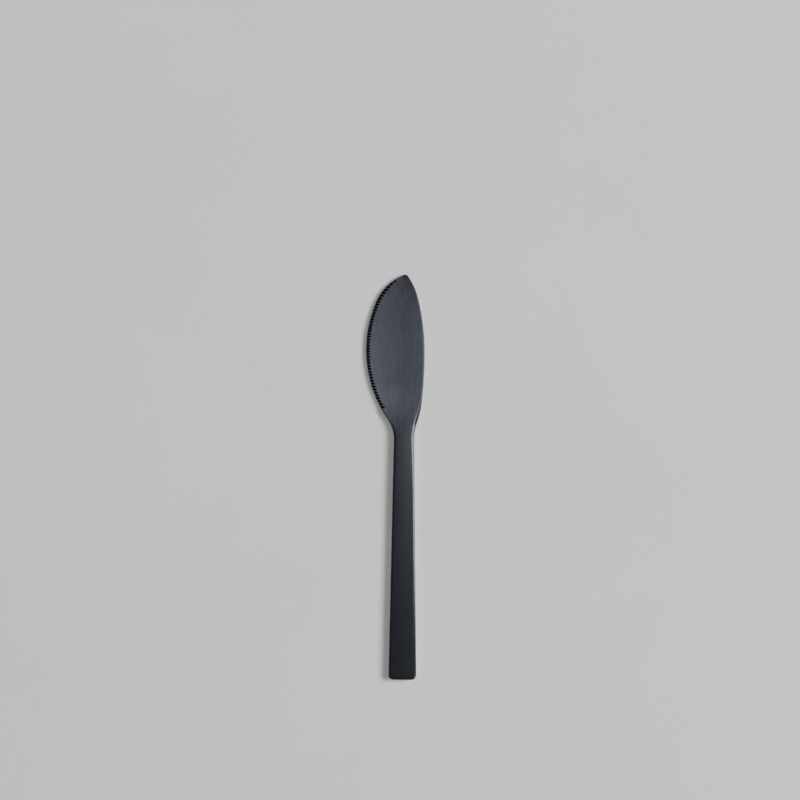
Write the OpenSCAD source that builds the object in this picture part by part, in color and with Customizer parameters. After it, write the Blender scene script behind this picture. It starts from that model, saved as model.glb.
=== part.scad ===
// Serrated table knife with a hollow handle, lying flat with its edge towards -X and its tip towards +Y.
// The origin is the middle of the handle's flat underside.

/* [Handle] */
// Length of the handle from its butt to the shoulder
handle_len = 101; // [80:1:130]
// Width of the handle at the shoulder
shoulder_w = 8.4; // [7.4:0.1:10]
// Width of the handle at the butt
butt_w = 11.5; // [9:0.1:15]
// Thickness of the handle
handle_t = 4.4; // [4:0.1:6]
// Width of the soft chamfer along the long edges of the handle
handle_edge_w = 1.2; // [0.8:0.1:1.7]
// Height of the soft chamfer along the edges of the handle
handle_edge_drop = 0.43; // [0.3:0.01:0.7]
// Rounding of the corners of the butt
butt_r = 1.9; // [1.2:0.05:2.6]
// Wall of each pressed half shell
shell_wall = 0.7; // [0.5:0.05:0.9]
// Height of the brazed seam between the half shells
seam_h = 0.2; // [0.1:0.05:0.4]

/* [Blade outline] */
// Length of the blade from the shoulder to the tip
blade_len = 69; // [60:1:90]
// Distance from the knife's axis to the deepest point of the cutting edge
edge_drop = 16.1; // [13:0.1:19]
// Distance from the tip back to the deepest point of the cutting edge
belly_from_tip = 31.5; // [27:0.5:36]
// Radius of the cutting edge between its deepest point and the tip's tighter curve
edge_r = 51; // [45:1:70]
// Length of the tighter curve of the cutting edge at the tip
edge_nose_len = 11.4; // [9:0.1:15]
// Radius of the hollow of the neck on the side of the cutting edge
edge_neck_r = 14; // [9:0.5:18]
// Distance from the knife's axis to the widest point of the spine
spine_rise = 8.4; // [6.5:0.1:10]
// Distance from the tip back to the widest point of the spine
spine_from_tip = 33.5; // [30:0.5:38]
// Radius of the spine between its widest point and the tip's tighter curve
spine_r = 98; // [85:1:130]
// Length of the tighter curve of the spine at the tip
spine_nose_len = 10; // [8:0.1:14]
// Radius of the spine behind its widest point
spine_back_r = 190; // [150:5:300]
// Length over which the spine turns in to the shoulder
spine_hip_len = 16; // [14:0.5:20]
// Radius of the hollow of the neck on the side of the spine
spine_neck_r = 20; // [12:0.5:24]
// Width of the flat on the blunt tip
tip_flat = 0.4; // [0.2:0.1:1]
// Rounding of the tip towards the spine
tip_r = 0.5; // [0.3:0.1:1.5]

/* [Blade thickness] */
// Thickness of the spine at the neck
spine_t = 1.8; // [1.4:0.1:2.4]
// Thickness of the spine at the tip
tip_t = 1.2; // [1:0.1:1.6]
// Thickness of the cutting edge
edge_t = 0.95; // [0.75:0.05:1.2]
// Small rounding along the outline of the blade
edge_break = 0.12; // [0.05:0.01:0.2]
// Length over which the blade thickens to the shoulder
neck_slope_len = 20; // [14:1:28]
// Length over which the handle's chamfer runs out along the cutting edge
edge_chamfer_len = 15; // [10:1:20]
// Length over which the handle's chamfer runs out along the spine
spine_chamfer_len = 24; // [16:1:30]

/* [Serration] */
// Distance from the tip back to the first flute
serration_from_tip = 2.8; // [2.5:0.1:6]
// Distance from the shoulder to the end of the row of flutes
serration_from_shoulder = 12.7; // [10:0.1:30]
// Distance from one flute to the next
flute_pitch = 1.23; // [1:0.01:2]
// Width of one flute
flute_w = 0.84; // [0.5:0.02:0.9]
// Length of one flute, measured square to the cutting edge
flute_run = 1.45; // [0.9:0.05:2]
// Distance from the tip at which the flutes have their full length
flute_full_from_tip = 7; // [4:0.5:12]
// Steel left below a flute at the cutting edge
flute_floor = 0.15; // [0.1:0.01:0.3]

/* [Tang and fillings] */
// Length of the spigot that fills the mouth of the handle
spigot_len = 4; // [2:0.5:8]
// Gap round the spigot that the brazing metal fills
braze_gap = 0.15; // [0.1:0.05:0.3]
// Length of the tang behind the spigot
tang_len = 38; // [20:1:60]
// Cement above and below the tang
tang_cover = 0.5; // [0.3:0.05:0.7]
// Cement beside the tang at the mouth of the handle
tang_side_cover = 1.25; // [0.8:0.05:1.8]
// Radius of the notches that key the tang into the cement
notch_r = 0.8; // [0.4:0.1:1]
// Distance from one pair of notches to the next
notch_pitch = 9; // [6:0.5:15]

/* [Hidden] */
steel = "#3c3f45";
brass = "#b08d57";
cement = "#b9b4a8";

// Steps in a corner
corner_steps = 5;
// How the soft chamfer runs into the face and turns into the wall
chamfer_ease = 1.5;
chamfer_turn = 0.83;
// Cross-sections along the blade, closer together towards the tip
blade_steps = 48;
tip_crowding = 1.6;
// Places between the corners of a section at which the faces of the blade are set
face_places = [0.2, 0.4, 0.6, 0.8];
// How quickly the flutes grow from the tip, 1 for evenly
flute_growth = 1.5;
// Overrun of a cutting shape past the surface that it cuts
overrun = 1;
// Share of the blade's width that the corner of one side may take at the tip
tip_corner_share = 0.3;
// Smallest corner inside the handle
least_corner = 0.2;
// Length over which the direction of the cutting edge is taken
facing_step = 0.01;
// Segments of a round cut
round_segments = 24;

mid_z = handle_t / 2;
shoulder_y = handle_len / 2;
butt_y = -handle_len / 2;
tip_y = shoulder_y + blade_len;
shoulder_half_w = shoulder_w / 2;
taper = (butt_w - shoulder_w) / 2 / handle_len;
handle_chamfer = [handle_edge_w, handle_edge_drop];

// Each side of the blade is a chain of arcs, and an arc is its centre and its radius.
// Cutting edge: hollow at the neck, an arc out to the belly, the main arc, and a tighter arc to the tip
belly_y = tip_y - belly_from_tip;
edge_nose_y = tip_y - edge_nose_len;
edge_hollow = [[-shoulder_half_w - edge_neck_r, shoulder_y], edge_neck_r];
edge_arc = [[edge_r - edge_drop, belly_y], edge_r];
belly_arc = neck_arc(edge_arc, [-edge_drop, belly_y], edge_hollow);
edge_hollow_y = meeting_y(edge_hollow, belly_arc);
edge_nose_from = [arc_x(edge_arc, -1, edge_nose_y), edge_nose_y];
edge_nose = nose_arc(edge_arc, edge_nose_from, [-tip_flat / 2, tip_y]);

// Spine: hollow at the neck, the hip, a long arc to the widest point, the main arc, a tighter arc to the tip
spine_wide_y = tip_y - spine_from_tip;
hip_y = shoulder_y + spine_hip_len;
spine_nose_y = tip_y - spine_nose_len;
spine_hollow = [[shoulder_half_w + spine_neck_r, shoulder_y], spine_neck_r];
back_arc = [[spine_rise - spine_back_r, spine_wide_y], spine_back_r];
spine_arc = [[spine_rise - spine_r, spine_wide_y], spine_r];
hip_arc = neck_arc(back_arc, [arc_x(back_arc, 1, hip_y), hip_y], spine_hollow);
spine_hollow_y = meeting_y(spine_hollow, hip_arc);
spine_nose_from = [arc_x(spine_arc, 1, spine_nose_y), spine_nose_y];
spine_nose = nose_arc(spine_arc, spine_nose_from, [tip_flat / 2 + tip_r, tip_y]);

mouth_half_w = shoulder_half_w - shell_wall;
spigot_y = shoulder_y - spigot_len;
tang_w = 2 * (mouth_half_w - tang_side_cover);
tang_t = handle_t - 2 * (shell_wall + tang_cover);
notch_pairs = floor((tang_len - notch_pitch / 2) / notch_pitch);

function mix(a, b, s) = a + (b - a) * s;

// Share that a part is of the whole, from 0 to 1
function share(part, whole) = max(0, min(1, part / whole));

// Share of a length that is left at y, counted from the shoulder
function share_left(y, len) = 1 - share(y - shoulder_y, len);

// 1 at the shoulder, falling steeply at first and ever more gently to 0 at the end of the neck's slope
function neck_slope(y) = share_left(y, neck_slope_len) ^ 2;

// 1 at the shoulder, falling smoothly to 0 where the handle's chamfer has run out
function chamfer_share(y, len) = (1 - cos(180 * share_left(y, len))) / 2;

// X of an arc at y, on its side +1 or -1
function arc_x(arc, side, y) = arc[0].x + side * sqrt(max(0, arc[1] ^ 2 - (y - arc[0].y) ^ 2));

// Arc that carries on smoothly from a point of another arc and ends at the tip
function nose_arc(arc, from, to) =
    let (inward = (arc[0] - from) / arc[1])
    let (nose_r = (to - from) * (to - from) / 2 / ((to - from) * inward))
    [from + nose_r * inward, nose_r];

// Arc that carries on smoothly from a point of another arc and meets the neck's hollow without a corner
function neck_arc(arc, from, hollow) =
    let (inward = (arc[0] - from) / arc[1])
    let (apart = from - hollow[0])
    let (hip_r = (hollow[1] ^ 2 - apart * apart) / 2 / (apart * inward - hollow[1]))
    [from + hip_r * inward, hip_r];

// Y at which the neck's hollow meets an arc
function meeting_y(hollow, arc) = mix(hollow[0].y, arc[0].y, hollow[1] / (hollow[1] + arc[1]));

// X of the cutting edge at y
function edge_x(y) =
    y < edge_hollow_y ? arc_x(edge_hollow, 1, y)
    : y < belly_y ? arc_x(belly_arc, -1, y)
    : y < edge_nose_y ? arc_x(edge_arc, -1, y)
    : arc_x(edge_nose, -1, y);

// How far the rounding of the tip takes the spine in at y
function tip_rounding(y) = tip_r - sqrt(max(0, tip_r ^ 2 - max(0, y - (tip_y - tip_r)) ^ 2));

// X of the spine at y
function spine_x(y) =
    y < spine_hollow_y ? arc_x(spine_hollow, -1, y)
    : y < hip_y ? arc_x(hip_arc, 1, y)
    : y < spine_wide_y ? arc_x(back_arc, 1, y)
    : y < spine_nose_y ? arc_x(spine_arc, 1, y)
    : arc_x(spine_nose, 1, y) - tip_rounding(y);

// How far the cutting edge faces sideways at y, 1 where it runs straight along the knife
function edge_facing(y) = facing_step / norm([edge_x(y + facing_step) - edge_x(y), facing_step]);

// Half the blade's thickness at y and at place u from the cutting edge, 0, to the spine, 1
function half_t(u, y) =
    let (back_t = mix(spine_t, tip_t, (y - shoulder_y) / blade_len))
    let (ground_t = mix(edge_t, back_t, u ^ 2))
    mix(ground_t, handle_t, neck_slope(y)) / 2;

// Height of a soft chamfer at a share s of its width, from 0 at the wall to 1 where it runs into the face
function soft_corner(s) = (1 - (1 - s) ^ chamfer_ease) ^ chamfer_turn;

// Corner of a width and height, from the wall at x on the side +1 or -1 to the face at half height h
function corner(x, h, size, side) = [
    for (k = [0 : corner_steps])
        let (s = (k / corner_steps) ^ 2)
        [x - side * size.x * s, h - size.y * (1 - soft_corner(s))]
];

function reversed(points) = [for (i = [len(points) - 1 : -1 : 0]) points[i]];

// Whole section from its upper half, which runs from the wall on +X over the face to the wall on -X
function both_halves(upper) =
    concat([for (p = upper) [p.x, mid_z + p.y]], [for (p = reversed(upper)) [p.x, mid_z - p.y]]);

// Size of a corner where the handle is set in by inset
function corner_size(outside, inset) = max(outside - inset, least_corner);

// Section of the handle at y, set in from its outside by inset
function handle_section(y, inset) =
    let (end_r = corner_size(butt_r, inset))
    let (chamfer = [for (size = handle_chamfer) corner_size(size, inset)])
    let (from_end = y - butt_y - inset)
    let (side_in = inset + end_r * (1 - sqrt(1 - (1 - share(from_end, end_r)) ^ 2)))
    let (face_in = inset + chamfer.y * (1 - soft_corner(share(from_end, chamfer.x))))
    let (half_w = shoulder_half_w + taper * (shoulder_y - y) - side_in)
    let (half_h = mid_z - face_in)
    both_halves(concat(corner(half_w, half_h, chamfer, 1), reversed(corner(-half_w, half_h, chamfer, -1))));

// Width and height of the blade's corner at y, where the handle's chamfer runs out over a length
function blade_corner(y, len, width) =
    [for (size = handle_chamfer) min(tip_corner_share * width, mix(edge_break, size, chamfer_share(y, len)))];

// Section of the blade and its neck at y
function blade_section(y) =
    let (x0 = edge_x(y), x1 = spine_x(y))
    let (width = x1 - x0)
    let (corner0 = blade_corner(y, edge_chamfer_len, width))
    let (corner1 = blade_corner(y, spine_chamfer_len, width))
    let (face = [for (u = face_places) mix(x1 - corner1.x, x0 + corner0.x, u)])
    both_halves(concat(
        corner(x1, half_t(1 - corner1.x / width, y), corner1, 1),
        [for (x = face) [x, half_t((x - x0) / width, y)]],
        reversed(corner(x0, half_t(corner0.x / width, y), corner0, -1))
    ));

// Solid through sections at the places ys along the knife, closed by a fan at each end
module loft(ys, sections) {
    rings = len(ys);
    n = len(sections[0]);
    ring_points = [for (i = [0 : rings - 1]) for (p = sections[i]) [p.x, ys[i], p.y]];
    ends = [for (i = [0, rings - 1]) [mean_x(sections[i]), ys[i], mid_z]];
    sides = [
        for (i = [0 : rings - 2], k = [0 : n - 1])
            let (a = i * n + k, b = i * n + (k + 1) % n)
            each [[a, b, b + n], [a, b + n, a + n]]
    ];
    first_end = [for (k = [0 : n - 1]) [rings * n, (k + 1) % n, k]];
    last_ring = (rings - 1) * n;
    last_end = [for (k = [0 : n - 1]) [rings * n + 1, last_ring + k, last_ring + (k + 1) % n]];
    polyhedron(concat(ring_points, ends), concat(sides, first_end, last_end));
}

// Middle of a section from side to side
function mean_x(section) =
    let (xs = [for (p = section) p.x])
    (min(xs) + max(xs)) / 2;

// The whole handle set in by inset, running on past the mouth by past
module handle_form(inset, past) {
    end_r = corner_size(butt_r, inset);
    round_ys = [for (k = [0 : corner_steps]) butt_y + inset + end_r * (1 - cos(90 * k / corner_steps))];
    ys = concat(round_ys, shoulder_y + past);
    loft(ys, [for (y = ys) handle_section(y, inset)]);
}

// Everything between two heights above the table
module layer(z0, z1) {
    translate([-butt_w, butt_y - overrun, z0])
        cube([2 * butt_w, handle_len + 2 * overrun, z1 - z0]);
}

// Everything between two places along the knife
module stretch_of_handle(y0, y1) {
    translate([-butt_w, y0, -overrun])
        cube([2 * butt_w, y1 - y0, handle_t + 2 * overrun]);
}

// Wall of the hollow handle between two heights above the table
module handle_wall(z0, z1) {
    difference() {
        intersection() {
            handle_form(0, 0);
            layer(z0, z1);
        }
        handle_form(shell_wall, overrun);
    }
}

// Plug of the blade that sits in the mouth of the handle
module spigot() {
    y1 = shoulder_y + overrun;
    ys = [spigot_y, y1];
    loft(ys, [for (y = ys) handle_section(shoulder_y, shell_wall + braze_gap)]);
}

// Flat bar behind the spigot, with pairs of notches
module tang() {
    difference() {
        translate([-tang_w / 2, spigot_y - tang_len, mid_z - tang_t / 2])
            cube([tang_w, tang_len + overrun, tang_t]);
        for (i = [1 : notch_pairs], side = [-1, 1])
            translate([side * tang_w / 2, spigot_y - i * notch_pitch, -overrun])
                cylinder(r = notch_r, h = handle_t + 2 * overrun, $fn = round_segments);
    }
}

// Share of its full length that a flute at y has
function flute_share(y) = share(tip_y - y, flute_full_from_tip) ^ flute_growth;

// One flute, sloping from the upper face down to the cutting edge
module flute(y) {
    run = flute_share(y) * flute_run / edge_facing(y);
    inner_x = edge_x(y) + run;
    inner_z = mid_z + half_t(run / (spine_x(y) - edge_x(y)), y);
    drop = inner_z - (mid_z - edge_t / 2 + flute_floor);
    translate([inner_x, y, inner_z])
        rotate([0, -atan2(drop, run), 0])
            rotate([90, 0, -90])
                translate([0, flute_w / 2, -overrun])
                    linear_extrude(norm([run, drop]) + 2 * overrun) {
                        circle(d = flute_w, $fn = round_segments);
                        translate([-flute_w / 2, 0])
                            square([flute_w, edge_t + overrun]);
                    }
}

module blade() {
    ys = [for (i = [0 : blade_steps]) tip_y - blade_len * (1 - i / blade_steps) ^ tip_crowding];
    color(steel)
        difference() {
            union() {
                loft(ys, [for (y = ys) blade_section(y)]);
                spigot();
                tang();
            }
            for (y = [tip_y - serration_from_tip : -flute_pitch : shoulder_y + serration_from_shoulder])
                flute(y);
        }
}

module handle_top_shell() {
    color(steel)
        handle_wall(mid_z + seam_h / 2, handle_t);
}

module handle_bottom_shell() {
    color(steel)
        handle_wall(0, mid_z - seam_h / 2);
}

module seam_braze() {
    color(brass)
        handle_wall(mid_z - seam_h / 2, mid_z + seam_h / 2);
}

module neck_braze() {
    color(brass)
        difference() {
            intersection() {
                handle_form(shell_wall, overrun);
                stretch_of_handle(spigot_y, shoulder_y);
            }
            spigot();
        }
}

module handle_cement() {
    color(cement)
        difference() {
            intersection() {
                handle_form(shell_wall, overrun);
                stretch_of_handle(butt_y, spigot_y);
            }
            tang();
        }
}

blade();
handle_top_shell();
handle_bottom_shell();
seam_braze();
neck_braze();
handle_cement();
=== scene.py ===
# %% [markdown]
# # A black table knife
# The knife lies flat on a pale table and is seen from straight above. It is a wide pointed blade with a
# finely serrated edge, forged in one with its neck, and a slim hollow handle made of two pressed half
# shells. The frame holds the real pieces at their real sizes, so everything here starts by loading it and
# is worked out from it, in metres: the edge faces -X, the tip points along +Y and the table is at z = 0.

# %% Load the frame
import math

import bmesh
import bpy
from mathutils import Matrix, Vector


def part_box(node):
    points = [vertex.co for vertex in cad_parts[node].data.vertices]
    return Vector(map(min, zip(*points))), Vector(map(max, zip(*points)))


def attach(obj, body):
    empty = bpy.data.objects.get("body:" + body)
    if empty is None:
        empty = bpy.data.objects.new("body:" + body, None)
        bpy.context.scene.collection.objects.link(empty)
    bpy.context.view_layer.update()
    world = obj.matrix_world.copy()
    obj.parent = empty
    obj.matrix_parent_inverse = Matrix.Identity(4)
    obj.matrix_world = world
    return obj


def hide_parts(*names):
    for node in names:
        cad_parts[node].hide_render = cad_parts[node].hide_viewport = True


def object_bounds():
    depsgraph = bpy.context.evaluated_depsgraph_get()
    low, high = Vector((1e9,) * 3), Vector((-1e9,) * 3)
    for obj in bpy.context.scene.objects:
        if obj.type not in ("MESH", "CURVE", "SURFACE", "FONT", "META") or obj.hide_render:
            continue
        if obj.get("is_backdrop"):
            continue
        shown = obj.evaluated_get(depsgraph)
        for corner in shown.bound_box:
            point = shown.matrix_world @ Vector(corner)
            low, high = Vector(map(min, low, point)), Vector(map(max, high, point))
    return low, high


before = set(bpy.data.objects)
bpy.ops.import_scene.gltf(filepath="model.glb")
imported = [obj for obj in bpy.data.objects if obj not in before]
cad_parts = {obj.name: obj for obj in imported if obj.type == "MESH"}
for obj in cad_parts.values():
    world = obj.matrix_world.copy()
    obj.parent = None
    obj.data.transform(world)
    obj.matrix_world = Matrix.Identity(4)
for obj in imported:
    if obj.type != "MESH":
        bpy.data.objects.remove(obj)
cad_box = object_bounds()
print("nodes:", ", ".join(sorted(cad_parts)))

# %% [markdown]
# ## Sizes
# The boxes of the frame's nodes give the main sizes. What a box can't tell, such as a radius or the
# thickness of the edge, is named in the step that needs it. One millimetre is a named value too, so that
# sizes read as a maker says them.

# %% Read the main sizes from the frame
MM = 0.001

shell_low, shell_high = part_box("handle_top_shell")
blade_low, blade_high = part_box("blade")
HANDLE_T = shell_high.z
MID_Z = HANDLE_T / 2
SHOULDER_Y = shell_high.y
BUTT_Y = shell_low.y
TIP_Y = blade_high.y
BLADE_LEN = TIP_Y - SHOULDER_Y
HANDLE_LEN = SHOULDER_Y - BUTT_Y
EDGE_DROP = -blade_low.x
SPINE_RISE = blade_high.x
SHOULDER_W = 8.4 * MM
print(f"knife {(TIP_Y - BUTT_Y) / MM:.1f} mm long, handle {HANDLE_T / MM:.1f} mm thick")

# %% [markdown]
# ## Camera
# The picture is taken from straight above. The knife leans by less than half a degree in it, so the camera
# is turned by that angle and the knife stays where it is. The lens is long and the camera is a metre away,
# so that the sides of the handle hardly show. The picture's width at the table sets the lens.

# %% Place the camera above the knife
PICTURE_PX = 800
MM_PER_PX = 0.42017
VIEW_W = PICTURE_PX * MM_PER_PX * MM
CAMERA_HEIGHT = 1.0
CAMERA_TURN = math.radians(0.4)
CLIP_START = 0.01
PICTURE_CENTRE = Vector((-1.75 * MM, TIP_Y - 52.66 * MM, 0))
SENSOR_MM = 36

camera_data = bpy.data.cameras.new("camera")
camera_data.sensor_width = SENSOR_MM
camera_data.lens = SENSOR_MM * CAMERA_HEIGHT / VIEW_W
camera_data.clip_start = CLIP_START
camera = bpy.data.objects.new("camera", camera_data)
camera.location = PICTURE_CENTRE + Vector((0, 0, CAMERA_HEIGHT + MID_Z))
camera.rotation_euler = (0, 0, CAMERA_TURN)
bpy.context.scene.collection.objects.link(camera)
bpy.context.scene.camera = camera
bpy.context.scene.view_settings.view_transform = "Standard"
print(f"lens {camera_data.lens:.1f} mm, picture {VIEW_W / MM:.0f} mm wide")

# %% [markdown]
# ## Shader maths
# Materials are written as sums and products. The nodes could be placed by hand in the shader editor, but a
# tone that takes ten of them is hard to follow there. So a small class wraps a node's output, and each sign
# adds the Math node that does it: `1 - mask` works as it reads.

# %% Wrap sockets so that shader maths reads as maths
class Value:
    """An output socket that can be added, subtracted, multiplied and raised to a power."""

    def __init__(self, finish, socket):
        self.finish = finish
        self.socket = socket

    def math(self, operation, first, second):
        made = self.finish.node("ShaderNodeMath", {"operation": operation})
        for place, term in zip(made.inputs, (first, second)):
            self.finish.feed(place, term)
        return Value(self.finish, made.outputs[0])

    def __add__(self, other):
        return self.math("ADD", self, other)

    def __radd__(self, other):
        return self.math("ADD", other, self)

    def __sub__(self, other):
        return self.math("SUBTRACT", self, other)

    def __rsub__(self, other):
        return self.math("SUBTRACT", other, self)

    def __mul__(self, other):
        return self.math("MULTIPLY", self, other)

    def __rmul__(self, other):
        return self.math("MULTIPLY", other, self)

    def __pow__(self, other):
        return self.math("POWER", self, other)


print("sockets can be reckoned with")

# %% [markdown]
# ## Nodes by name
# A finish is the node tree of one material or of the room. One method adds any node: its settings go in
# first, then the values or links of its sockets. Short methods on top of it are named for what a finish
# needs: noise, a mix of two colours, a ramp or a bump.

# %% Add nodes by name
# Places of the colour sockets on a Mix node
MIX_SHARE, MIX_FIRST, MIX_SECOND, MIX_RESULT = 0, 6, 7, 2


class Finish:
    """A material or world whose nodes are added by name."""

    def __init__(self, owner):
        owner.use_nodes = True
        self.tree = owner.node_tree
        self.tree.nodes.clear()

    def feed(self, place, term):
        """Links a value or an output to a socket, or sets the socket to a number or a colour."""
        if isinstance(term, Value):
            self.tree.links.new(term.socket, place)
        elif isinstance(term, bpy.types.NodeSocket):
            self.tree.links.new(term, place)
        elif place.type == "RGBA":
            place.default_value = (*term, 1)
        else:
            place.default_value = term

    def node(self, kind, settings=None, sockets=None):
        made = self.tree.nodes.new(kind)
        for name, setting in (settings or {}).items():
            setattr(made, name, setting)
        for name, term in (sockets or {}).items():
            self.feed(made.inputs[name], term)
        return made

    def value(self, kind, settings=None, sockets=None, output=0):
        return Value(self, self.node(kind, settings, sockets).outputs[output])

    def where(self, kind):
        """Coordinates of a kind: Object on a piece, in metres, or Generated, the direction in a room."""
        return self.node("ShaderNodeTexCoord").outputs[kind]

    def part(self, vector, axis):
        """One of the three numbers of a vector."""
        return self.value("ShaderNodeSeparateXYZ", None, {"Vector": vector}, axis)

    def noise(self, scale, detail=2.0, roughness=0.5):
        """Noise from 0 to 1 whose grains are one over the scale long on each axis, in metres."""
        mapped = self.node("ShaderNodeMapping", None, {"Vector": self.where("Object"), "Scale": scale})
        sockets = {"Vector": mapped.outputs["Vector"], "Scale": 1.0, "Detail": detail, "Roughness": roughness}
        return self.value("ShaderNodeTexNoise", None, sockets, "Fac")

    def mix(self, share, first, second):
        """A colour between two, by a share from 0 to 1."""
        settings = {"data_type": "RGBA", "clamp_factor": True}
        sockets = {MIX_SHARE: share, MIX_FIRST: first, MIX_SECOND: second}
        return self.node("ShaderNodeMix", settings, sockets).outputs[MIX_RESULT]

    def ramp(self, term, low, high, kind="SMOOTHSTEP"):
        """0 to 1 as a value goes from low to high."""
        sockets = {"Value": term, "From Min": low, "From Max": high}
        return self.value("ShaderNodeMapRange", {"interpolation_type": kind}, sockets)

    def bump(self, height, distance):
        """The normal of a surface that rises by a distance where the height goes from 0 to 1."""
        return self.node("ShaderNodeBump", None, {"Height": height, "Distance": distance}).outputs["Normal"]

    def surface(self, kind, sockets):
        shader = self.node(kind, None, sockets)
        output = "ShaderNodeOutputWorld" if kind == "ShaderNodeBackground" else "ShaderNodeOutputMaterial"
        self.node(output, None, {"Surface": shader.outputs[0]})


def new_finish(name):
    """A new material, and the finish that its nodes go into."""
    material = bpy.data.materials.new(name)
    return material, Finish(material)


def even(per_metre):
    """Noise scale for grains that are as long on every axis."""
    return (per_metre, per_metre, per_metre)


print("shader helpers ready")

# %% [markdown]
# ## Table
# The knife lies on a plain pale sheet with hardly any grain. One flat grid is enough, so large that its
# ends stay out of the picture. Faint clouds in its colour and a fine grain in its gloss keep it from
# looking empty.

# %% Lay the table
TABLE_REACH = 6.0
TABLE_PALE = (0.806, 0.806, 0.806)
TABLE_DIM = (0.768, 0.768, 0.769)
TABLE_CLOUDS = 9
TABLE_GRAINS = 2500
TABLE_ROUGHNESS = 0.75
GRAIN_ROUGHNESS = 0.1
TABLE_GLOSS = 0.2


def table_finish():
    material, finish = new_finish("pale table")
    clouds = finish.noise(even(TABLE_CLOUDS), detail=3.0)
    grains = finish.noise(even(TABLE_GRAINS))
    finish.surface("ShaderNodeBsdfPrincipled", {
        "Base Color": finish.mix(clouds, TABLE_DIM, TABLE_PALE),
        "Roughness": TABLE_ROUGHNESS + GRAIN_ROUGHNESS * grains,
        "Specular IOR Level": TABLE_GLOSS,
    })
    return material


table_mesh = bpy.data.meshes.new("table")
table_bm = bmesh.new()
bmesh.ops.create_grid(table_bm, x_segments=1, y_segments=1, size=TABLE_REACH)
table_bm.to_mesh(table_mesh)
table_bm.free()
table = bpy.data.objects.new("table", table_mesh)
table.data.materials.append(table_finish())
bpy.context.scene.collection.objects.link(table)
table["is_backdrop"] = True
print(f"table {2 * TABLE_REACH:.0f} m square")

# %% [markdown]
# ## Soft light
# A large soft panel on the right lights the table and throws the knife's shadow to the left. Polished metal
# shows what stands round it, so the other panels are there for the steel alone. Each stands where one part
# of the knife mirrors it: the faces, the chamfers on the right or the hip of the spine. A picture of a
# bright room could do that too, but panels can be moved one by one. A panel is given by the angles between
# which it is seen, because angles are what a mirror goes by.

# %% Set the soft light
PANEL_DISTANCE = 6.0
# Turn to the right, reach across and along the knife, all as angles in degrees, and radiance
PANELS = {
    "key_panel": (38, (-13, 13), (-4.9, 19), 8.2),
    "rim_panel": (65, (-14, 14), (-4.9, 19), 4.0),
    "hip_panel": (45, (-20, 16), (-25, -10.5), 3.8),
    "top_panel": (0, (-3.2, 24), (-0.7, 7.5), 2.4),
    "front_panel": (0, (-3.2, 24), (7.5, 26), 0.8),
}


def reach(angles):
    """Middle and width of a panel seen between two angles in degrees."""
    near, far = (PANEL_DISTANCE * math.tan(math.radians(angle)) for angle in angles)
    return (near + far) / 2, far - near


def soft_panel(name, turn, across, along, radiance):
    """A rectangle of light that faces the middle of the picture, seen between angles across and along it."""
    (x, wide), (y, long) = reach(across), reach(along)
    data = bpy.data.lights.new(name, "AREA")
    data.shape = "RECTANGLE"
    data.size, data.size_y = wide, long
    data.energy = radiance * wide * long * math.pi
    panel = bpy.data.objects.new(name, data)
    panel.rotation_euler = (0, math.radians(turn), 0)
    panel.location = PICTURE_CENTRE + panel.rotation_euler.to_matrix() @ Vector((x, y, PANEL_DISTANCE))
    bpy.context.scene.collection.objects.link(panel)
    print(f"{name}: {wide:.2f} x {long:.2f} m")
    return panel


for name, settings in PANELS.items():
    panel = soft_panel(name, *settings)
    panel.visible_diffuse = name == "key_panel"

# %% [markdown]
# ## Fill
# The knife's shadow is light, so more light comes from straight above. One more panel could give it, but a
# sun is as strong on the whole table. The steel doesn't mirror it, because it would be a hard bright spot
# there.

# %% Add the fill
FILL_STRENGTH = 0.915
FILL_ANGLE = math.radians(8)

fill_data = bpy.data.lights.new("fill", "SUN")
fill_data.energy = FILL_STRENGTH
fill_data.angle = FILL_ANGLE
fill = bpy.data.objects.new("fill", fill_data)
fill.visible_glossy = False
bpy.context.scene.collection.objects.link(fill)
print(f"fill {FILL_STRENGTH:.2f} W per square metre")

# %% [markdown]
# ## Room
# Beside the panels, the steel mirrors the room. It is dark overhead, so that the faces and the left side of
# the handle stay black, lighter low down and lightest at both ends. Walls could be modelled, but a world
# that goes by direction takes only a few nodes. It doesn't light the table.

# %% Set the room's own light
ROOM_OVERHEAD = (0.14, 0.14, 0.14)
ROOM_LOW = (0.9, 0.9, 0.9)
ROOM_ENDS = (1.9, 1.9, 1.9)
# Heights of a direction between which the room darkens
LOW_UNTIL, OVERHEAD_FROM = 0.5, 0.8
# Squares of a direction's share along the knife between which its ends begin
ENDS_FROM, ENDS_FULL = 0.5, 0.8

room = bpy.data.worlds.new("room")
bpy.context.scene.world = room
room_finish = Finish(room)
towards = room_finish.where("Generated")
overhead_share = room_finish.ramp(room_finish.part(towards, "Z"), LOW_UNTIL, OVERHEAD_FROM)
end_share = room_finish.ramp(room_finish.part(towards, "Y") ** 2, ENDS_FROM, ENDS_FULL)
side_colour = room_finish.mix(overhead_share, ROOM_LOW, ROOM_OVERHEAD)
room_colour = room_finish.mix(end_share, side_colour, ROOM_ENDS)
room_finish.surface("ShaderNodeBackground", {"Color": room_colour, "Strength": 1.0})
room.cycles_visibility.diffuse = False
print("room light set")

# %% [markdown]
# ## Tint of the steel
# The steel has a thin black coat, and its tint isn't even: violet towards the edge and greener towards the
# spine, in soft patches. An image could be painted for it, but a ramp across the knife and a long noise
# need no unwrapping, and they run on from the blade to the handle without a break.

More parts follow.
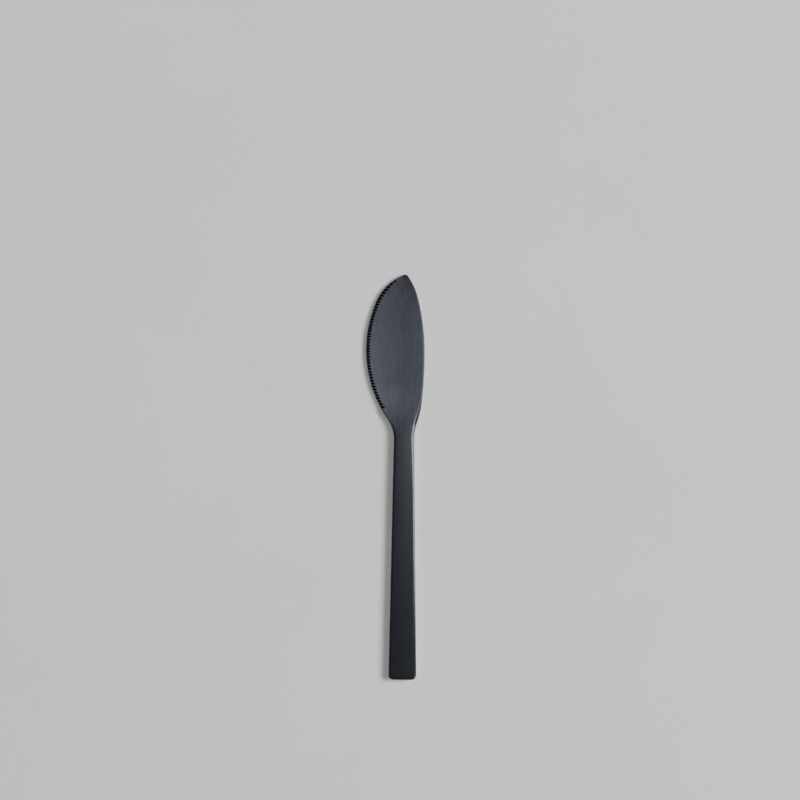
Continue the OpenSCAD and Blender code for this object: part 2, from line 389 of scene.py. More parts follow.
# %% Tint the steel
STEEL_VIOLET = (0.0695, 0.0749, 0.0951)
STEEL_GREEN = (0.0530, 0.0612, 0.0724)
TINT_W = 9 * MM
TINT_LENGTH = 30 * MM
TINT_FROM_X = -9 * MM
PATCH_SHARE = 0.4
GREEN_FROM_Y = SHOULDER_Y + 14 * MM
GREEN_TO_Y = SHOULDER_Y + 31 * MM
HANDLE_GREEN = 0.8
NOISE_MIDDLE = 0.5
MARK_CONTRAST = 3.0


def along_knife(width, length):
    """Noise scale for marks of a width across the knife and a length along it."""
    return (1 / width, 1 / length, 1 / width)


def strong_marks(finish, width, length, detail):
    """Marks along the knife, with more contrast about their middle than plain noise has."""
    marks = finish.noise(along_knife(width, length), detail)
    return NOISE_MIDDLE + MARK_CONTRAST * (marks - NOISE_MIDDLE)


def steel_tint(finish, x, y):
    """Colour of the coat at a place on the knife."""
    patches = strong_marks(finish, TINT_W, TINT_LENGTH, detail=2.0)
    across = PATCH_SHARE * patches + (1 - PATCH_SHARE) * finish.ramp(x, TINT_FROM_X, 0)
    green_share = HANDLE_GREEN + (1 - HANDLE_GREEN) * finish.ramp(y, GREEN_FROM_Y, GREEN_TO_Y)
    return finish.mix(green_share * across, STEEL_VIOLET, STEEL_GREEN)


print(f"tint patches {TINT_W / MM:.0f} x {TINT_LENGTH / MM:.0f} mm")

# %% [markdown]
# ## Tone of the steel, with painted light
# The coat's tone isn't even either: it is streaky on the blade and calmer on the handle. On top of that,
# painted shade makes the blade darker towards the tip, and painted sheen makes it a little lighter towards
# the spine and the edge. Each of these is a factor about 1, so that all of them can be multiplied and
# changed one by one.

# %% Shade the steel
STREAK_W = 0.65 * MM
STREAK_LENGTH = 5 * MM
STREAK_DARK, STREAK_LIGHT = 0.82, 1.18
HANDLE_STREAK = 0.3
# Painted sheen towards the spine and the edge, and painted shade towards the tip
SPINE_PAINTED_SHEEN = 0.17
EDGE_PAINTED_SHEEN = 0.22
EDGE_SHEEN_FROM_X = -3 * MM
TIP_PAINTED_SHADE = 0.61
TIP_SHADE_LEN = 41 * MM


def steel_tone_and_painted_light(finish, x, y, streaks):
    """How light the coat is at a place on the knife, about 1, with painted sheen towards the spine and the
    edge and painted shade towards the tip.
    """
    on_blade = finish.ramp(y, SHOULDER_Y, SHOULDER_Y + STREAK_LENGTH)
    near_tip = finish.ramp(y, TIP_Y - TIP_SHADE_LEN, TIP_Y, "LINEAR")
    blade_tone = STREAK_DARK + (STREAK_LIGHT - STREAK_DARK) * streaks
    handle_tone = 1 + HANDLE_STREAK * (blade_tone - 1)
    # Painted sheen along the spine and the edge, and painted shade at the tip
    spine_sheen = SPINE_PAINTED_SHEEN * finish.ramp(x, 0, SPINE_RISE)
    edge_sheen = EDGE_PAINTED_SHEEN * (1 - near_tip) * finish.ramp(x, EDGE_SHEEN_FROM_X, -EDGE_DROP)
    side_sheen = 1 + on_blade * (spine_sheen + edge_sheen)
    tip_shade = 1 - (1 - TIP_PAINTED_SHADE) * near_tip
    return (handle_tone + on_blade * (blade_tone - handle_tone)) * side_sheen * tip_shade


print(f"streaks {STREAK_W / MM:.2f} x {STREAK_LENGTH / MM:.0f} mm")

# %% [markdown]
# ## Black steel
# Under the coat, the steel is brushed lengthwise. Brush lines are grooves that run along the knife: they
# spread a reflection sideways and leave it sharp lengthwise. Anisotropic shading could do that, but it
# follows the mesh's own directions. Fine grooves in a bump follow the knife instead, on every piece alike.
# On corners and walls the coat is worn smooth and has no tint, and the normal tells which places those are.

# %% Mix the black steel
STEEL_WORN = (0.0430, 0.0437, 0.0452)
# Upward part of the normal below which the coat is worn, and above which it is whole
WORN_BELOW, WHOLE_ABOVE = 0.965, 0.985
STEEL_ROUGHNESS = 0.20
WORN_ROUGHNESS = 0.06
STREAK_ROUGHNESS = 0.02
BRUSH_LINE = 0.10 * MM
BRUSH_LENGTH = 30 * MM
BRUSH_DEPTH = 0.014 * MM


def black_steel_finish():
    material, finish = new_finish("brushed black steel")
    where = finish.where("Object")
    x, y = finish.part(where, "X"), finish.part(where, "Y")
    up = finish.part(finish.node("ShaderNodeNewGeometry").outputs["Normal"], "Z")
    lines = finish.noise(along_knife(BRUSH_LINE, BRUSH_LENGTH), detail=3.0, roughness=0.6)
    streaks = strong_marks(finish, STREAK_W, STREAK_LENGTH, detail=4.0)
    whole = finish.ramp(up, WORN_BELOW, WHOLE_ABOVE)
    colour = finish.mix(whole, STEEL_WORN, steel_tint(finish, x, y))
    # The tone carries painted sheen and painted shade as well as the streaks
    tone = steel_tone_and_painted_light(finish, x, y, streaks)
    toned = finish.node("ShaderNodeVectorMath", {"operation": "SCALE"}, {"Vector": colour, "Scale": tone})
    roughness = WORN_ROUGHNESS + (STEEL_ROUGHNESS - WORN_ROUGHNESS) * whole
    finish.surface("ShaderNodeBsdfPrincipled", {
        "Base Color": toned.outputs[0],
        "Metallic": 1.0,
        "Roughness": roughness + STREAK_ROUGHNESS * (streaks - NOISE_MIDDLE),
        "Normal": finish.bump(lines, BRUSH_DEPTH),
    })
    return material


black_steel = black_steel_finish()
print(f"brush lines {BRUSH_LINE / MM:.2f} mm wide")

# %% [markdown]
# ## Painted shade in the flutes
# The flutes are ground with a small wheel before the coat goes on, and so is the bevel along the teeth. They
# lie in shade, and that shade is painted: a near-black finish that hardly shines. One noise varies colour and
# gloss together, as patches of a coat do. The function takes both as pairs, because other finishes of the
# knife need it too.

# %% Mix the painted shade of the flutes
# Near-black painted shade for the flutes and for the bevel along the teeth
FLUTE_SHADE_TONES = (0.0010, 0.0010, 0.0012), (0.0025, 0.0025, 0.0030)
FLUTE_ROUGHNESS = 0.60, 0.75
FLUTE_GRAINS = 4000


def mottled_finish(name, scale, tones, roughness, detail=2.0, grain=0.5, metallic=1.0, relief=0):
    """A finish that one noise varies between two colours and two roughnesses, with a relief if it has one."""
    material, finish = new_finish(name)
    mottle = finish.noise(scale, detail, grain)
    smooth, dull = roughness
    sockets = {
        "Base Color": finish.mix(mottle, *tones),
        "Metallic": metallic,
        "Roughness": smooth + (dull - smooth) * mottle,
    }
    if relief:
        sockets["Normal"] = finish.bump(mottle, relief)
    finish.surface("ShaderNodeBsdfPrincipled", sockets)
    return material


flute_painted_shade = mottled_finish("painted shade of the flutes", even(FLUTE_GRAINS), FLUTE_SHADE_TONES, FLUTE_ROUGHNESS)
print("flute finish ready")

# %% [markdown]
# ## Outline of the blade
# From above, each side of the blade is a chain of arcs that run smoothly into one another. Curve objects
# could hold them, but here each side is a function of y, so that any piece can ask where it is. An arc is
# its centre and its radius. Two arcs join without a corner if their centres and the joint lie on one line,
# and from that the helpers work out an arc that fits its neighbours.

# %% Join arcs
def mix(first, second, share):
    """A value between two, by a share from 0 to 1."""
    return first + (second - first) * share


def arc_x(arc, side, y):
    """X at y of an arc, on its side +1 or -1."""
    centre, radius = arc
    return centre.x + side * math.sqrt(max(0, radius ** 2 - (y - centre.y) ** 2))


def leave(arc, side, y):
    """The point of an arc at y, and the direction from it to the arc's centre."""
    start = Vector((arc_x(arc, side, y), y))
    return start, (arc[0] - start).normalized()


def nose_arc(arc, side, y, tip):
    """The arc that carries on smoothly from another one at y and ends at the tip."""
    start, inward = leave(arc, side, y)
    radius = (tip - start).length_squared / 2 / (tip - start).dot(inward)
    return start + radius * inward, radius


def neck_arc(arc, side, y, hollow):
    """The arc that carries on smoothly from another one at y and meets the neck's hollow without a corner."""
    start, inward = leave(arc, side, y)
    apart = start - hollow[0]
    radius = (hollow[1] ** 2 - apart.length_squared) / 2 / (apart.dot(inward) - hollow[1])
    return start + radius * inward, radius


def meeting_y(hollow, arc):
    """Y at which the neck's hollow meets an arc."""
    return mix(hollow[0].y, arc[0].y, hollow[1] / (hollow[1] + arc[1]))


def chain_x(chain, y):
    """X at y on a chain of arcs, each given with its side and the y at which it ends."""
    for arc, side, end in chain:
        if y < end:
            break
    return arc_x(arc, side, y)


print("arcs can be joined")

# %% [markdown]
# ## Cutting edge
# The edge has a hollow at the neck, a long arc out to the belly, the main arc and a tighter one to the tip.
# The hollow and the main arc have radii that were measured. The other two follow from them, so nothing can
# kink.

# %% Draw the cutting edge
BELLY_FROM_TIP = 31.5 * MM
EDGE_ARC_R = 51 * MM
EDGE_NOSE_LEN = 11.4 * MM
EDGE_NECK_R = 14 * MM
TIP_FLAT = 0.4 * MM
FACING_STEP = 0.01 * MM

belly_y = TIP_Y - BELLY_FROM_TIP
edge_nose_y = TIP_Y - EDGE_NOSE_LEN
edge_hollow = Vector((-SHOULDER_W / 2 - EDGE_NECK_R, SHOULDER_Y)), EDGE_NECK_R
edge_arc = Vector((EDGE_ARC_R - EDGE_DROP, belly_y)), EDGE_ARC_R
belly_arc = neck_arc(edge_arc, -1, belly_y, edge_hollow)
edge_nose = nose_arc(edge_arc, -1, edge_nose_y, Vector((-TIP_FLAT / 2, TIP_Y)))
edge_chain = (
    (edge_hollow, 1, meeting_y(edge_hollow, belly_arc)),
    (belly_arc, -1, belly_y),
    (edge_arc, -1, edge_nose_y),
    (edge_nose, -1, TIP_Y),
)


def edge_x(y):
    """Where the cutting edge is at y."""
    return chain_x(edge_chain, y)


def edge_facing(y):
    """How far the cutting edge faces sideways at y, 1 where it runs straight along the knife."""
    return FACING_STEP / math.hypot(edge_x(y + FACING_STEP) - edge_x(y), FACING_STEP)


print(f"edge: belly arc {belly_arc[1] / MM:.1f} mm, tip arc {edge_nose[1] / MM:.1f} mm")

# %% [markdown]
# ## Spine
# The spine is drawn like the edge. It has a hollow, the hip, a long arc to its widest point, the main arc
# and a tighter one to the tip, where a small rounding takes the sharpness off the point.

# %% Draw the spine
SPINE_FROM_TIP = 33.5 * MM
SPINE_ARC_R = 98 * MM
SPINE_NOSE_LEN = 10 * MM
SPINE_BACK_R = 190 * MM
SPINE_HIP_LEN = 16 * MM
SPINE_NECK_R = 20 * MM
TIP_R = 0.5 * MM

spine_wide_y = TIP_Y - SPINE_FROM_TIP
spine_nose_y = TIP_Y - SPINE_NOSE_LEN
hip_y = SHOULDER_Y + SPINE_HIP_LEN
spine_hollow = Vector((SHOULDER_W / 2 + SPINE_NECK_R, SHOULDER_Y)), SPINE_NECK_R
back_arc = Vector((SPINE_RISE - SPINE_BACK_R, spine_wide_y)), SPINE_BACK_R
spine_arc = Vector((SPINE_RISE - SPINE_ARC_R, spine_wide_y)), SPINE_ARC_R
hip_arc = neck_arc(back_arc, 1, hip_y, spine_hollow)
spine_nose = nose_arc(spine_arc, 1, spine_nose_y, Vector((TIP_FLAT / 2 + TIP_R, TIP_Y)))
spine_chain = (
    (spine_hollow, -1, meeting_y(spine_hollow, hip_arc)),
    (hip_arc, 1, hip_y),
    (back_arc, 1, spine_wide_y),
    (spine_arc, 1, spine_nose_y),
    (spine_nose, 1, TIP_Y),
)


def spine_x(y):
    """Where the spine is at y, with the small rounding of the tip."""
    past = max(0, y - (TIP_Y - TIP_R))
    return chain_x(spine_chain, y) - TIP_R + math.sqrt(max(0, TIP_R ** 2 - past ** 2))


print(f"spine: hip arc {hip_arc[1] / MM:.1f} mm, tip arc {spine_nose[1] / MM:.1f} mm")

# %% [markdown]
# ## Thickness of the blade
# The blade is thickest along the spine and thinnest along the edge, and its faces are ground slightly
# hollow. Towards the handle it thickens in one slope, which is steep at the shoulder and ever gentler. The
# handle's faces are slightly crowned, and the crown fades out along the neck. A sculpted face would be hard
# to keep even, so the thickness is a function too, of y and of the place from the edge to the spine.

# %% Work out the thickness of the blade
SPINE_T = 1.8 * MM
TIP_T = 1.2 * MM
EDGE_T = 0.95 * MM
NECK_SLOPE_LEN = 24 * MM
HOLLOW_SHARE = 0.0025
CROWN = 0.16 * MM


def share_left(y, length):
    """Share of a length that is left at y, counted from the shoulder."""
    return 1 - min(1, (y - SHOULDER_Y) / length)


def fade(y, length):
    """1 at the shoulder, falling smoothly to 0 over a length."""
    return (1 - math.cos(math.pi * share_left(y, length))) / 2


def half_thickness(u, y):
    """Half the thickness at y, from the edge at u = 0 to the spine at u = 1."""
    back_t = mix(SPINE_T, TIP_T, (y - SHOULDER_Y) / BLADE_LEN)
    hollow = HOLLOW_SHARE * (spine_x(y) - edge_x(y)) * 4 * u * (1 - u)
    ground_t = mix(EDGE_T, back_t, u ** 2) - 2 * hollow
    return mix(ground_t, HANDLE_T, share_left(y, NECK_SLOPE_LEN) ** 2) / 2


def crowned(from_middle, crown):
    """How much of its height a face keeps at a place from its middle line, 0, to its sides, -1 and 1."""
    return 1 - crown / MID_Z * from_middle ** 2


print(f"blade {2 * half_thickness(1, belly_y) / MM:.2f} mm at the spine, {EDGE_T / MM:.2f} mm at the edge")

# %% [markdown]
# ## Sections of the blade
# Cut across, the upper half of the blade goes up the edge's wall, round a soft corner, across the face,
# round another corner and down the spine's wall. At the shoulder the corners are chamfers as on the handle.
# They run out along the neck into a fine bevel along the edge and a broken corner along the spine, deeper
# at the hip. A bevel modifier can't change width and height apart from each other, so the corners are part
# of the section.

# %% Work out the blade's sections
CORNER_COLUMNS = 8
FACE_COLUMNS = 30
CHAMFER_EASE = 1.5
CHAMFER_TURN = 0.92
EDGE_CHAMFER_LEN = 15 * MM
SPINE_CHAMFER_LEN = 24 * MM
TIP_CORNER_SHARE = 0.3
# Width and height of each corner
# The bevel's width also sets the strip of painted shade along the teeth
EDGE_BEVEL = Vector((0.18, 0.12)) * MM
SPINE_BREAK = Vector((0.06, 0.06)) * MM
SHOULDER_CHAMFERS = (Vector((0.8, 0.27)) * MM, Vector((1.2, 0.43)) * MM)
HIP_CORNER = Vector((0.4, 0.5)) * MM
HIP_FROM, HIP_TO = 1.5 * MM, 18 * MM


def soft_corner(share):
    """Height of a soft chamfer, from 0 at the wall to 1 where it runs into the face."""
    return (1 - (1 - share) ** CHAMFER_EASE) ** CHAMFER_TURN


def half_section(x0, x1, corners, height, crown):
    """Points from the wall at x0 over the upper face to the wall at x1, as x and z."""
    (w0, d0), (w1, d1) = corners
    width = x1 - x0
    h0, h1 = height(w0 / width) - d0, height(1 - w1 / width) - d1
    shares = [(k / CORNER_COLUMNS) ** 2 for k in range(CORNER_COLUMNS + 1)]
    flat = [mix(x0 + w0, x1 - w1, k / FACE_COLUMNS) for k in range(1, FACE_COLUMNS)]
    points = [(x0, 0)]
    points += [(x0 + w0 * s, h0 + d0 * soft_corner(s)) for s in shares]
    points += [(x, height((x - x0) / width)) for x in flat]
    points += [(x1 - w1 * s, h1 + d1 * soft_corner(s)) for s in reversed(shares)]
    points += [(x1, 0)]
    return [(x, MID_Z + h * crowned(2 * (x - x0) / width - 1, crown)) for x, h in points]


def hip_share(y):
    """How much of the hip's deeper corner there is at y."""
    place = (y - SHOULDER_Y - HIP_FROM) / (HIP_TO - HIP_FROM)
    return math.sin(math.pi * min(1, max(0, place))) ** 2


def blade_section(y):
    """Upper half of the section of the blade and its neck at y."""
    x0, x1 = edge_x(y), spine_x(y)
    widest = TIP_CORNER_SHARE * (x1 - x0)
    bevel = Vector((EDGE_BEVEL.x / edge_facing(y), EDGE_BEVEL.y))
    edge_corner = mix(bevel, SHOULDER_CHAMFERS[0], fade(y, EDGE_CHAMFER_LEN))
    spine_corner = mix(SPINE_BREAK, SHOULDER_CHAMFERS[1], fade(y, SPINE_CHAMFER_LEN))
    spine_corner += HIP_CORNER * hip_share(y)
    corners = [[min(widest, size) for size in corner] for corner in (edge_corner, spine_corner)]
    return half_section(x0, x1, corners, lambda u: half_thickness(u, y), CROWN * fade(y, SPINE_CHAMFER_LEN))


columns = len(blade_section(SHOULDER_Y)) - 1
print(f"a section has {columns} columns")

# %% [markdown]
# ## Skin of the blade
# The upper half of the blade is one grid. Its rows run from side to side, closer together towards the tip,
# and each is bent into half a section. Bridging a few sections would be quicker, but a row about every half
# millimetre keeps the reflections even. Mirroring the grid in the blade's middle plane gives the lower
# half, so both faces match.

# %% Bend a grid into the blade
ROWS = 170
TIP_CROWDING = 1.6
WELD = 0.002 * MM
TO_MIDDLE = Matrix.Translation((0, 0, -MID_Z))

blade_bm = bmesh.new()
bmesh.ops.create_grid(blade_bm, x_segments=columns, y_segments=ROWS, size=1)
blade_bm.verts.ensure_lookup_table()
for row in range(ROWS + 1):
    row_y = TIP_Y - BLADE_LEN * (1 - row / ROWS) ** TIP_CROWDING
    for column, (x, z) in enumerate(blade_section(row_y)):
        blade_bm.verts[row * (columns + 1) + column].co = (x, row_y, z)

bmesh.ops.mirror(blade_bm, geom=blade_bm.verts[:] + blade_bm.edges[:] + blade_bm.faces[:],
                 matrix=TO_MIDDLE, axis="Z")
bmesh.ops.remove_doubles(blade_bm, verts=blade_bm.verts[:], dist=WELD)
print(f"blade skin: {len(blade_bm.faces)} faces")

# %% [markdown]
# ## Spigot and tang
# Behind the shoulder the forging goes on inside the handle: a spigot that fills its mouth, and a flat tang
# with notches that the filling grips. A second solid could be joined on, but the open end of the skin is
# already there. It is extruded again and again, and each new ring is scaled or moved to the next section.

# %% Extrude the spigot and the tang
SPIGOT_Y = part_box("neck_braze")[0].y
TANG_END_Y = blade_low.y
SPIGOT_W, SPIGOT_T = 6.7 * MM, 2.7 * MM
TANG_W, TANG_T = 4.5 * MM, 2.0 * MM
NOTCH_R = 0.8 * MM
NOTCH_PITCH = 9 * MM
NOTCHES = 3
NOTCH_TURNS = (0, 30, 60, 90, 120, 150, 180)


def ring_at(bm, y):
    """Open edges of a mesh that lie at y."""
    return [e for e in bm.edges if e.is_boundary and all(abs(v.co.y - y) < WELD for v in e.verts)]


def next_ring(bm, edges, width, thickness, y):
    """Extrudes a ring of edges, and gives the new ring a width, a thickness and a place along the knife."""
    grown = bmesh.ops.extrude_edge_only(bm, edges=edges)["geom"]
    verts = [g for g in grown if isinstance(g, bmesh.types.BMVert)]
    now_w = max(v.co.x for v in verts) - min(v.co.x for v in verts)
    now_t = max(v.co.z for v in verts) - min(v.co.z for v in verts)
    bmesh.ops.scale(bm, verts=verts, vec=(width / now_w, 1, thickness / now_t), space=TO_MIDDLE)
    bmesh.ops.translate(bm, verts=verts, vec=(0, y - verts[0].co.y, 0))
    return [g for g in grown if isinstance(g, bmesh.types.BMEdge) and all(v in verts for v in g.verts)]


stations = [
    (SPIGOT_W, SPIGOT_T, SHOULDER_Y),
    (SPIGOT_W, SPIGOT_T, SPIGOT_Y),
    (TANG_W, TANG_T, SPIGOT_Y),
]
for notch in range(1, NOTCHES + 1):
    for turn in NOTCH_TURNS:
        depth = NOTCH_R * math.sin(math.radians(turn))
        place = SPIGOT_Y - notch * NOTCH_PITCH + NOTCH_R * math.cos(math.radians(turn))
        stations.append((TANG_W - 2 * depth, TANG_T, place))
stations.append((TANG_W, TANG_T, TANG_END_Y))

ring = ring_at(blade_bm, SHOULDER_Y)
for station in stations:
    ring = next_ring(blade_bm, ring, *station)
bmesh.ops.edgeloop_fill(blade_bm, edges=ring)
bmesh.ops.edgeloop_fill(blade_bm, edges=ring_at(blade_bm, TIP_Y))
bmesh.ops.recalc_face_normals(blade_bm, faces=blade_bm.faces[:])
open_edges = sum(1 for e in blade_bm.edges if not e.is_manifold)
print(f"blade forging: {len(blade_bm.faces)} faces, {open_edges} open edges")

# %% [markdown]
# ## Flutes
# The teeth are the lands between a row of small flutes. The wheel cuts each flute across the blade, from
# the upper face down to the edge, and leaves a thin web of steel at the bottom. The cut gets wider as it
# gets deeper, and it is shorter towards the tip. One flute is a round profile with a tall back, extruded
# along its slope. An array modifier could repeat it, but each flute has its own length and slope, so a loop
# makes them.

# %% Shape the cutter
FLUTE_PITCH = 1.23 * MM
FLUTE_W = 1.05 * MM
FLUTE_RUN = 1.65 * MM
FLUTE_FLOOR = 0.15 * MM
FLUTE_SIDES = 20
FLUTE_ROUND = 0.6
FLUTE_BACK = 2 * MM
FLUTE_LEAD = 1 * MM
FLUTE_FULL_FROM_TIP = 7 * MM
FLUTE_GROWTH = 0.7
FIRST_FLUTE_Y = TIP_Y - 2.8 * MM
LAST_FLUTE_Y = SHOULDER_Y + 12.7 * MM
# Turns a profile drawn in X and Y so that it is pushed along -X with its back upwards
PROFILE_TO_CUT = Matrix(((0, 0, -1, 0), (-1, 0, 0, 0), (0, 1, 0, 0), (0, 0, 0, 1)))


def add_flute(bm, y):
    """One cutter for a flute at y, lying along X and sloping down to the edge."""
    grown_share = min(1, (TIP_Y - y) / FLUTE_FULL_FROM_TIP) ** FLUTE_GROWTH
    run = grown_share * FLUTE_RUN / edge_facing(y)
    inner_h = half_thickness(run / (spine_x(y) - edge_x(y)), y)
    drop = inner_h + EDGE_T / 2 - FLUTE_FLOOR
    profile = bmesh.ops.create_circle(bm, cap_ends=True, segments=FLUTE_SIDES, radius=FLUTE_W / 2)["verts"]
    back = [v for v in profile if v.co.y > 0]
    bmesh.ops.scale(bm, verts=profile, vec=(1, FLUTE_ROUND, 1))
    bmesh.ops.translate(bm, verts=back, vec=(0, FLUTE_BACK, 0))
    grown = bmesh.ops.extrude_face_region(bm, geom=profile[0].link_faces[:])["geom"]
    far_end = [g for g in grown if isinstance(g, bmesh.types.BMVert)]
    bmesh.ops.translate(bm, verts=far_end, vec=(0, 0, math.hypot(run, drop) + 2 * FLUTE_LEAD))
    seat = Matrix.Translation((edge_x(y) + run, y, MID_Z + inner_h))
    tilt = Matrix.Rotation(-math.atan2(drop, run), 4, "Y")
    lift = Matrix.Translation((0, FLUTE_ROUND * FLUTE_W / 2, -FLUTE_LEAD))
    bmesh.ops.transform(bm, verts=profile + far_end, matrix=seat @ tilt @ PROFILE_TO_CUT @ lift)


cutter_bm = bmesh.new()
flutes = int((FIRST_FLUTE_Y - LAST_FLUTE_Y) / FLUTE_PITCH) + 1
for flute in range(flutes):
    add_flute(cutter_bm, FIRST_FLUTE_Y - flute * FLUTE_PITCH)
bmesh.ops.recalc_face_normals(cutter_bm, faces=cutter_bm.faces[:])
print(f"cutter for {flutes} flutes")

# %% [markdown]
# ## Teeth
# Taking the cutter out of the blade leaves the teeth. They could be drawn into the blade's own grid, but
# that would need far more rows. A Boolean cuts only where it has to, and it passes on the cutter's finish,
# the near-black painted shade of the flutes. The border between the two finishes is kept crisp, because
# smooth shading across it would smear the painted shade.

# %% Cut the flutes
SHARP_ANGLE = math.radians(32)


def new_piece(name, bm, *materials):
    """A mesh object at the origin from a finished bmesh."""
    mesh = bpy.data.meshes.new(name)
    bm.to_mesh(mesh)
    bm.free()
    piece = bpy.data.objects.new(name, mesh)
    for material in materials:
        mesh.materials.append(material)
    bpy.context.scene.collection.objects.link(piece)
    return piece


def smooth_piece(piece):
    """Smooth shading with crisp edges, also where two finishes meet."""
    piece.data.shade_smooth()
    piece.data.set_sharp_from_angle(angle=SHARP_ANGLE)
    bm = bmesh.new()
    bm.from_mesh(piece.data)
    for edge in bm.edges:
        finishes = {face.material_index for face in edge.link_faces}
        edge.smooth = edge.smooth and len(finishes) == 1
    bm.to_mesh(piece.data)
    bm.free()


def is_bevel(face):
    """Whether a face belongs to the bevel along the teeth."""
    x, y, z = face.calc_center_median()
    in_row = LAST_FLUTE_Y < y < FIRST_FLUTE_Y
    return in_row and z > MID_Z and x < edge_x(y) + EDGE_BEVEL.x / edge_facing(y)


# The bevel along the teeth gets the flutes' near-black painted shade
for face in blade_bm.faces:
    face.material_index = int(is_bevel(face))
cutter = new_piece("flute_cutter", cutter_bm, flute_painted_shade)
blade = new_piece("blade_forging", blade_bm, black_steel, flute_painted_shade)

cut = blade.modifiers.new("flutes", "BOOLEAN")
cut.operation = "DIFFERENCE"
cut.solver = "EXACT"
cut.material_mode = "TRANSFER"
cut.object = cutter
bpy.context.view_layer.update()
cut_mesh = bpy.data.meshes.new_from_object(blade.evaluated_get(bpy.context.evaluated_depsgraph_get()))
blade.modifiers.clear()
blade.data = cut_mesh
bpy.data.objects.remove(cutter)
smooth_piece(blade)
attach(blade, "root")
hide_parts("blade")
print(f"blade with flutes: {len(blade.data.polygons)} faces")

# %% [markdown]
# ## Skin of the handle
# The handle is a straight taper with soft chamfers. A tapered cube with a bevel would come close, but it
# would leave a step at the neck. So the skin starts as the ring of the blade's shoulder. Bridges join it to
# a ring where the chamfers have become narrower, and on to one near the butt, where a few more rings draw
# the skin in round the corners.

# %% Draw the skin of the handle
BUTT_W = 11.5 * MM
BUTT_R = 1.9 * MM
BUTT_RINGS = 8
HANDLE_CHAMFER = Vector((0.75, 0.24)) * MM
HANDLE_CHAMFERS = (HANDLE_CHAMFER, HANDLE_CHAMFER)
CHAMFER_FADE = 20 * MM
HANDLE_STATIONS = (
    (SHOULDER_Y, SHOULDER_CHAMFERS),
    (SHOULDER_Y - CHAMFER_FADE, HANDLE_CHAMFERS),
    (BUTT_Y + BUTT_R, HANDLE_CHAMFERS),
)


def handle_ring(bm, width, chamfers, y):
    """A closed ring of edges round the handle's section at y."""
    upper = half_section(-width / 2, width / 2, chamfers, lambda u: MID_Z, CROWN)
    lower = [(x, 2 * MID_Z - z) for x, z in upper[-2:0:-1]]
    around = [bm.verts.new((x, y, z)) for x, z in upper + lower]
    return [bm.edges.new(pair) for pair in zip(around, around[1:] + around[:1])]


def handle_skin():
    """The skin of the whole handle, open at its mouth."""
    bm = bmesh.new()
    rings = []
    for y, chamfers in HANDLE_STATIONS:
        width = mix(SHOULDER_W, BUTT_W, (SHOULDER_Y - y) / HANDLE_LEN)
        rings.append(handle_ring(bm, width, chamfers, y))
    for ring, other in zip(rings, rings[1:]):
        bmesh.ops.bridge_loops(bm, edges=ring + other)
    ring = rings[-1]
    for step in range(1, BUTT_RINGS + 1):
        turn = math.pi / 2 * step / BUTT_RINGS
        out = BUTT_R * (1 - math.sin(turn))
        inset = BUTT_R * (1 - math.cos(turn))
        drop = HANDLE_CHAMFER.y * (1 - soft_corner(min(1, out / HANDLE_CHAMFER.x)))
        ring = next_ring(bm, ring, BUTT_W - 2 * inset, HANDLE_T - 2 * drop, BUTT_Y + out)
    bmesh.ops.edgeloop_fill(bm, edges=ring)
    return bm


print(f"handle {SHOULDER_W / MM:.1f} mm wide at the shoulder, {BUTT_W / MM:.1f} mm at the butt")

# %% [markdown]
# ## Handle shells
# Each half of the handle is pressed from sheet. They could be drawn one by one, but cut from the same skin
# they match all round. Cutting it just above or below its middle leaves one half, and solidify gives that
# skin the wall of the sheet.

# %% Press the handle shells
SHELL_WALL = 0.6 * MM
seam_low, seam_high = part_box("seam_braze")


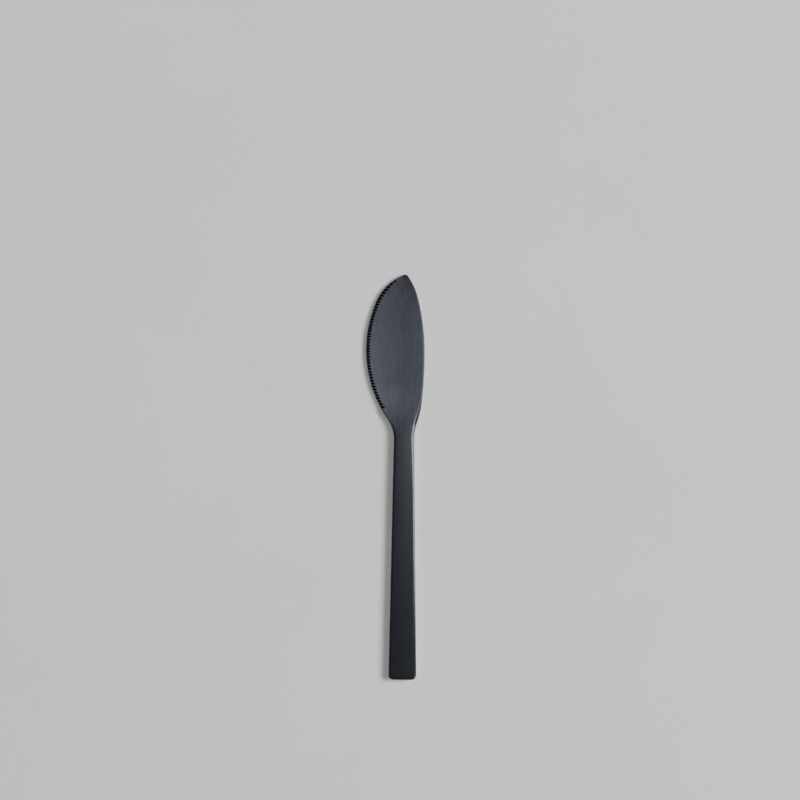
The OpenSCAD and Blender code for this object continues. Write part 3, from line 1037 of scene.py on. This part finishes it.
def half_shell(name, seam_z, side):
    """Makes the half of the handle above (side 1) or below (side -1) the seam."""
    bm = handle_skin()
    bmesh.ops.bisect_plane(bm, geom=bm.verts[:] + bm.edges[:] + bm.faces[:], plane_co=(0, 0, seam_z),
                           plane_no=(0, 0, side), clear_inner=True)
    bmesh.ops.remove_doubles(bm, verts=bm.verts[:], dist=WELD)
    bmesh.ops.recalc_face_normals(bm, faces=bm.faces[:])
    bmesh.ops.solidify(bm, geom=bm.faces[:], thickness=SHELL_WALL)
    shell = new_piece(name, bm, black_steel)
    smooth_piece(shell)
    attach(shell, "root")
    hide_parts("handle_" + name)
    print(f"{name}: {len(shell.data.polygons)} faces")


half_shell("top_shell", seam_high.z, 1)
half_shell("bottom_shell", seam_low.z, -1)

# %% [markdown]
# ## Braze and filling
# The brazing metal and the filling could be modelled again too, but their solids are right as they are, so
# they only get a finish. The seam is dressed flush and coated with the rest, so little but its gloss
# differs from the sheet's. The sleeve round the spigot and the filling are closed in.

# %% Finish the seam, the sleeve and the filling
SEAM_TONES = (0.030, 0.031, 0.035), (0.050, 0.051, 0.056)
SEAM_ROUGHNESS = 0.38, 0.50
FILE_MARK_W, FILE_MARK_LENGTH = 0.1 * MM, 2 * MM
BRASS_TONES = (0.42, 0.29, 0.12), (0.62, 0.46, 0.22)
BRASS_ROUGHNESS = 0.35, 0.55
BRASS_RIPPLES = 1500
BRASS_RELIEF = 0.05 * MM
CEMENT_TONES = (0.42, 0.40, 0.36), (0.58, 0.56, 0.51)
CEMENT_ROUGHNESS = 0.80, 0.95
CEMENT_GRAINS = 900
CEMENT_RELIEF = 0.1 * MM

file_marks = along_knife(FILE_MARK_W, FILE_MARK_LENGTH)
inner_finishes = {
    "seam_braze": mottled_finish("coated seam", file_marks, SEAM_TONES, SEAM_ROUGHNESS, detail=3.0),
    "neck_braze": mottled_finish("brazing metal", even(BRASS_RIPPLES), BRASS_TONES, BRASS_ROUGHNESS,
                                 detail=3.0, relief=BRASS_RELIEF),
    "handle_cement": mottled_finish("handle cement", even(CEMENT_GRAINS), CEMENT_TONES, CEMENT_ROUGHNESS,
                                    detail=5.0, grain=0.7, metallic=0.0, relief=CEMENT_RELIEF),
}
for name, material in inner_finishes.items():
    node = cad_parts[name]
    node.data.materials.clear()
    node.data.materials.append(material)
print("finished:", ", ".join(inner_finishes))

# %% Write the sizes and finish
visual_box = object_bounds()
for label, (low, high) in (("frame", cad_box), ("dressed", visual_box)):
    print(label, [round((b - a) / MM, 2) for a, b in zip(low, high)], "mm")
